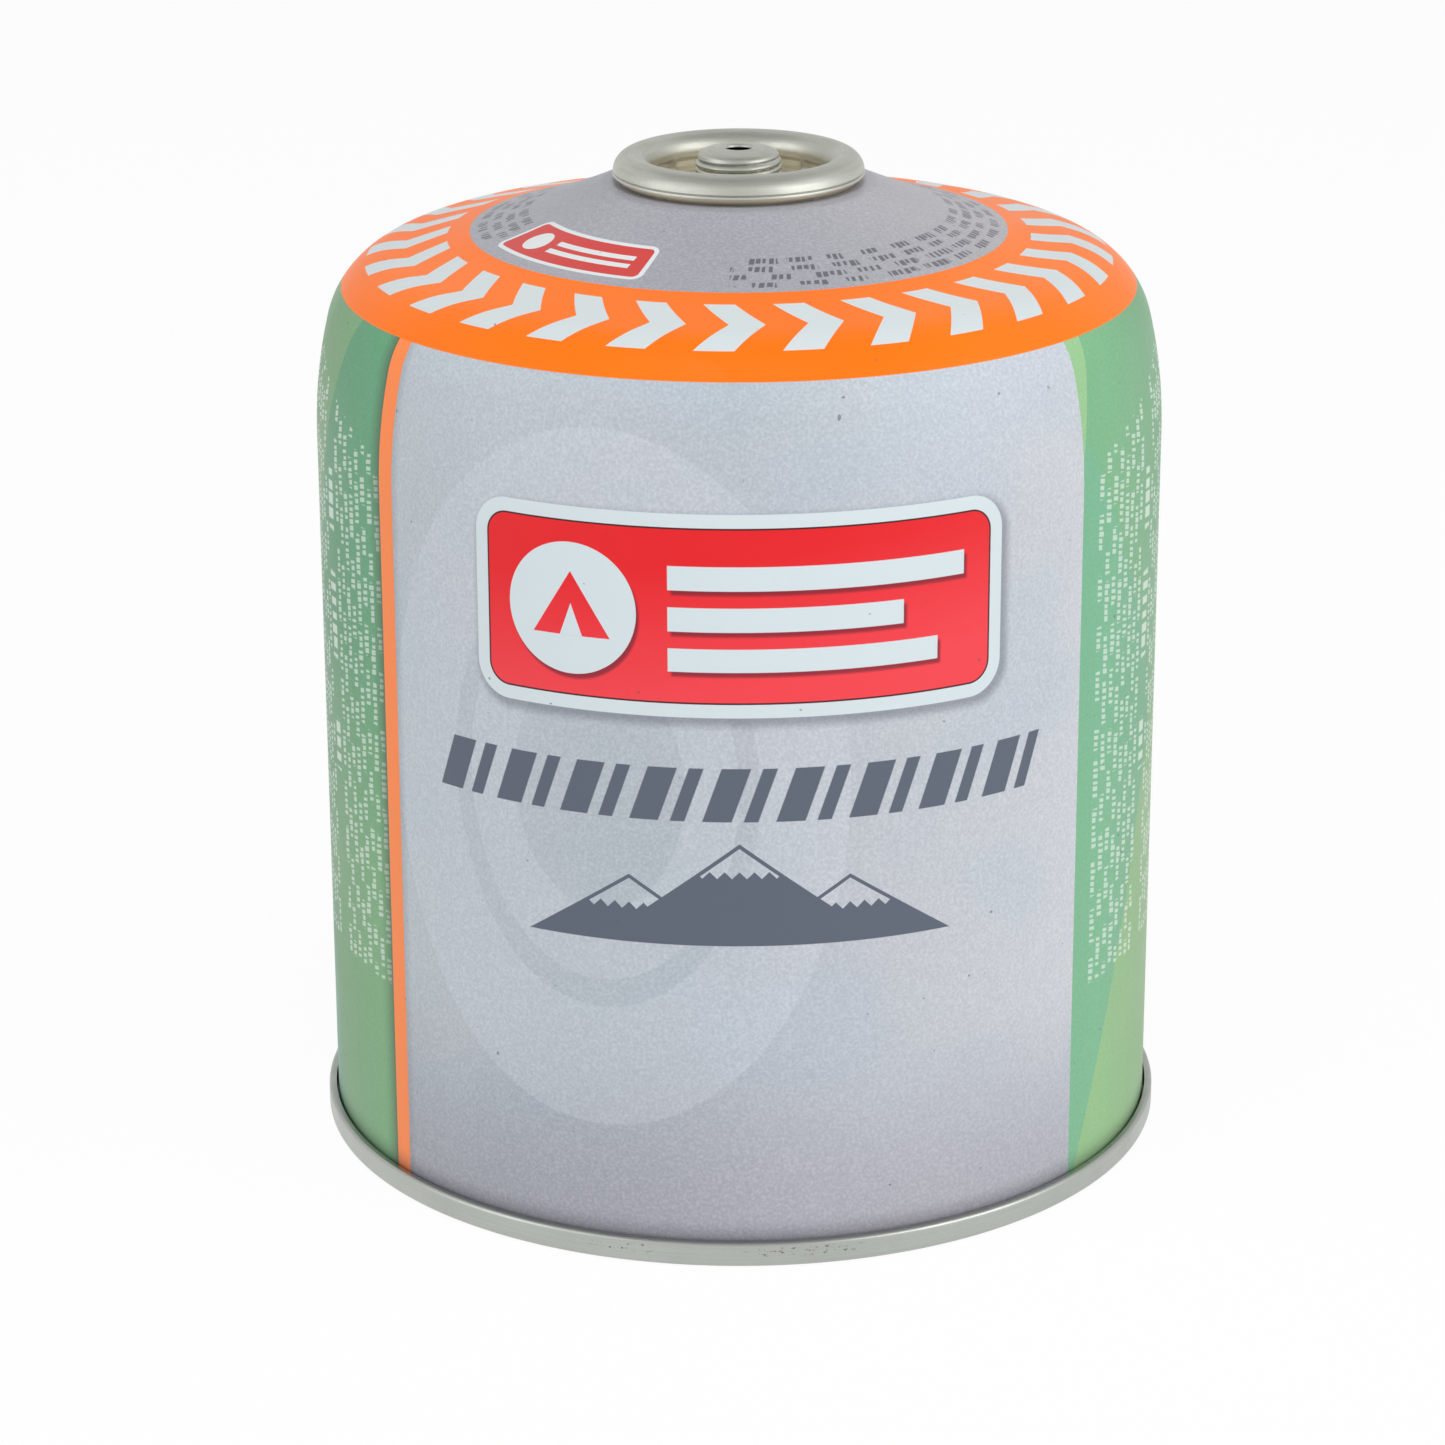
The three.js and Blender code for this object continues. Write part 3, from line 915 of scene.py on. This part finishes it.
def makeCup(bare):
    low, high = floorZ + post["foot"], postTop - post["edge"]
    inner = cup["curl"] - cup["sheet"]
    bulge = wellR + cup["bulge"]
    rows = 80  # rings that carry the thread
    o = Outline()
    for step, drop in cup["lip"]:
        o.to(curlR + cup["curl"] + step, curlZ - drop)
    o.arc(curlR, curlZ, cup["curl"], 5, 180, 36)
    o.line(wellR, curlZ - cup["sheet"], 3)
    o.line(bulge, crimpTop, 6)
    o.line(bulge, crimpLow, 3)
    o.line(wellR, floorZ, 4)
    o.line(post["radius"] + post["foot"], floorZ, 20)
    o.arc(post["radius"] + post["foot"], low, post["foot"], 270, 180, 8)
    for i in range(1, rows):
        z = low + (high - low) * i / rows
        narrow = max(0.0, 1 - (high - z) / post["pitch"])
        o.to(post["radius"] - (post["radius"] - post["cap"]) * narrow, z)
    for r, drop in post["crown"]:
        o.line(r, postTop - drop, 3)
    o.to(post["hole"], postTop - cup["sheet"])
    for step, drop in post["under"]:
        o.to(postBore - step, postTop - cup["sheet"] - drop)
    o.to(postBore, floorZ)
    o.to(postBore + cup["sheet"], floorZ - cup["sheet"])
    o.to(wellR, floorZ - cup["sheet"])
    o.to(bulge + cup["sheet"], crimpLow)
    o.to(bulge + cup["sheet"], crimpTop)
    o.to(wellR + cup["sheet"], curlZ - cup["sheet"])
    o.arc(curlR, curlZ, inner, 180, 0, 24)

    def shift(r, z, a):
        # right-hand thread: narrow grooves between rounded lands
        if postBore + cup["sheet"] / 2 < r < post["radius"] + cup["sheet"] and low < z < high:
            turn = (z - postTop + post["drop"]) / post["pitch"] - (a + math.pi / 2) / (2 * math.pi)
            fade = max(0.0, min(1.0, (z - low) / post["pitch"], 2 * (high - z) / post["pitch"]))
            r -= post["depth"] * fade * (1 - abs(math.sin(math.pi * turn)) ** 0.55)
        # ridges in the wall, one between each two of the crimping jaws
        if r > wellR + 0.02 and z < curlZ - cup["sheet"] - 0.02:
            step = 2 * math.pi / cup["jaws"]
            off = abs((a + step / 2) % step - step / 2) * r
            depth = min(1.0, (r - wellR) / cup["bulge"])
            r -= cup["ridge"] * depth * max(0.0, 1 - off / cup["ridgeWidth"]) ** 1.5
        return r, z

    piece = revolve("valveCup", o, fineSides, True, [bare], None, shift)
    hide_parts("valve_cup")
    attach(piece, "root")
    print("valve cup made")


# seal and housing inside the post, seen only through the hole
valve = {
    "drop": 0.3,  # the seal lies this much under the solid's top
    "sealHole": 1.3,
    "sealEdge": 1.0,
    "sealLip": 0.25,
    "tail": 1.8,
    "tailLength": 2.6,
    "tip": 0.9,
    "tipHeight": 0.6,
    "tipEdge": 0.15,
}


def makeValve(rubber, plastic):
    low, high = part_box("stem_gasket")
    radius, bottom, top = high.x / mm, low.z / mm, high.z / mm - valve["drop"]
    o = Outline()
    edge, lip = valve["sealEdge"], valve["sealLip"]
    o.to(valve["sealHole"], bottom)
    o.line(radius, bottom, 3)
    o.line(radius, top - edge, 2)
    o.arc(radius - edge, top - edge, edge, 0, 90, 8)
    o.line(valve["sealHole"] + lip, top, 3)
    o.arc(valve["sealHole"] + lip, top - lip, lip, 90, 180, 5)
    seal = revolve("stemSeal", o, valveSides, True, [rubber])
    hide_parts("stem_gasket")
    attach(seal, "root")
    low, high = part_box("valve_core")
    bottom, top = low.z / mm, high.z / mm
    o = Outline()
    tail, tip, edge = valve["tail"], valve["tip"], valve["tipEdge"]
    o.to(0, bottom)
    o.line(tail, bottom, 2)
    o.line(tail, bottom + valve["tailLength"], 2)
    o.line(radius, bottom + valve["tailLength"], 2)
    o.line(radius, top - valve["tipHeight"], 4)
    o.line(tip, top - valve["tipHeight"], 3)
    o.line(tip, top - edge, 2)
    o.arc(tip - edge, top - edge, edge, 0, 90, 4)
    o.to(0, top)
    core = revolve("valveHousing", o, valveSides, False, [plastic])
    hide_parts("valve_core")
    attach(core, "root")
    print("valve made")


# white room: soft lamps at both sides and above, sizes and places in metres
studio = {
    "world": 0.46,
    "background": 1.0,  # as the camera and reflections see it
    "floor": 20.0,  # half its width
    "floorZ": -0.0001,
    "floorGlow": 0.94,  # share of plain white that the camera sees
    "card": {"half": 0.75, "place": (0, -0.1, 1.2), "level": 0.45},
    "lamps": (
        # name, place, size, power, aimed at, seen in reflections
        ("softLeft", (-0.85, -0.5, 0.4), 0.9, 2.8, (0, 0, 0.07), True),
        ("softRight", (0.85, -0.5, 0.4), 0.9, 4.6, (0, 0, 0.07), True),
        ("topSoft", (0.0, -0.35, 1.0), 0.5, 4.6, (0, 0, 0.1), False),
    ),
}


def square(half):
    return [(-half, -half, 0), (half, -half, 0), (half, half, 0), (-half, half, 0)]


def makeStudio():
    world = bpy.data.worlds.new("studio")
    bpy.context.scene.world = world
    world.use_nodes = True
    nodes, links = world.node_tree.nodes, world.node_tree.links
    nodes.clear()
    path = nodes.new("ShaderNodeLightPath")
    seen = nodes.new("ShaderNodeMath")
    seen.operation = "MAXIMUM"
    shown = nodes.new("ShaderNodeMath")
    shown.operation = "MAXIMUM"
    links.new(path.outputs["Is Camera Ray"], seen.inputs[0])
    links.new(path.outputs["Is Transmission Ray"], seen.inputs[1])
    links.new(seen.outputs[0], shown.inputs[0])
    links.new(path.outputs["Is Glossy Ray"], shown.inputs[1])
    lit, white = nodes.new("ShaderNodeBackground"), nodes.new("ShaderNodeBackground")
    lit.inputs["Strength"].default_value = studio["world"]
    white.inputs["Strength"].default_value = studio["background"]
    mix, out = nodes.new("ShaderNodeMixShader"), nodes.new("ShaderNodeOutputWorld")
    links.new(shown.outputs[0], mix.inputs[0])
    links.new(lit.outputs[0], mix.inputs[1])
    links.new(white.outputs[0], mix.inputs[2])
    links.new(mix.outputs[0], out.inputs["Surface"])
    for name, place, size, power, target, mirrored in studio["lamps"]:
        data = bpy.data.lights.new(name, "AREA")
        data.shape, data.size, data.energy = "SQUARE", size, power
        lamp = bpy.data.objects.new(name, data)
        lamp.location = place
        lamp.visible_glossy = mirrored
        lamp.rotation_euler = (Vector(target) - Vector(place)).to_track_quat("-Z", "Y").to_euler()
        bpy.context.scene.collection.objects.link(lamp)

    # dim card overhead, seen only in reflections
    card = studio["card"]
    mesh = bpy.data.meshes.new("ceilingCard")
    mesh.from_pydata(square(card["half"]), [], [(0, 3, 2, 1)])
    ceiling = bpy.data.objects.new("ceilingCard", mesh)
    ceiling.location = card["place"]
    bpy.context.scene.collection.objects.link(ceiling)
    ceiling.visible_camera = False
    ceiling.visible_diffuse = False
    ceiling.visible_shadow = False
    ceiling.visible_transmission = False
    s = Shader("dimCard")
    glow = s.nodes.new("ShaderNodeEmission")
    glow.inputs["Strength"].default_value = card["level"]
    s.link(glow.outputs[0], s.nodes["Material Output"].inputs["Surface"])
    mesh.materials.append(s.material)

    # pale floor: nearly white to the camera, and it keeps a faint shadow
    mesh = bpy.data.meshes.new("floor")
    mesh.from_pydata(square(studio["floor"]), [], [(0, 1, 2, 3)])
    floor = bpy.data.objects.new("floor", mesh)
    floor.location.z = studio["floorZ"]
    bpy.context.scene.collection.objects.link(floor)
    s = Shader("paleFloor")
    s.set(color=paint(244, 244, 244), rough=0.9, level=0.1)
    path = s.nodes.new("ShaderNodeLightPath")
    glow = s.nodes.new("ShaderNodeEmission")
    glow.inputs["Strength"].default_value = 1.0
    blend = s.nodes.new("ShaderNodeMixShader")
    seen = s.most(path.outputs["Is Camera Ray"], path.outputs["Is Glossy Ray"])
    seen = s.most(seen, path.outputs["Is Transmission Ray"])
    s.link(s.mul(seen, studio["floorGlow"]), blend.inputs[0])
    s.link(s.principled.outputs[0], blend.inputs[1])
    s.link(glow.outputs[0], blend.inputs[2])
    s.link(blend.outputs[0], s.nodes["Material Output"].inputs["Surface"])
    mesh.materials.append(s.material)
    bpy.context.scene.view_settings.view_transform = "Standard"
    print("studio made")


printed = printedSteel()
bareEnd = tinplate("tinplateEnd", paint(184, 188, 182), 0.36, 9.0, nicks=True)
bareCup = tinplate("tinplateCup", paint(202, 204, 195), 0.44, 2.0, warm=0.45)
bareNeck = tinplate("tinplateNeck", paint(206, 196, 174), 0.5, 2.0)
makeBody(printed, bareNeck)
makeBase(bareEnd)
makeCup(bareCup)
makeValve(darkSolid("rubberSeal", paint(34, 36, 38), 0.75), darkSolid("valvePlastic", paint(52, 54, 58), 0.5))
makeStudio()
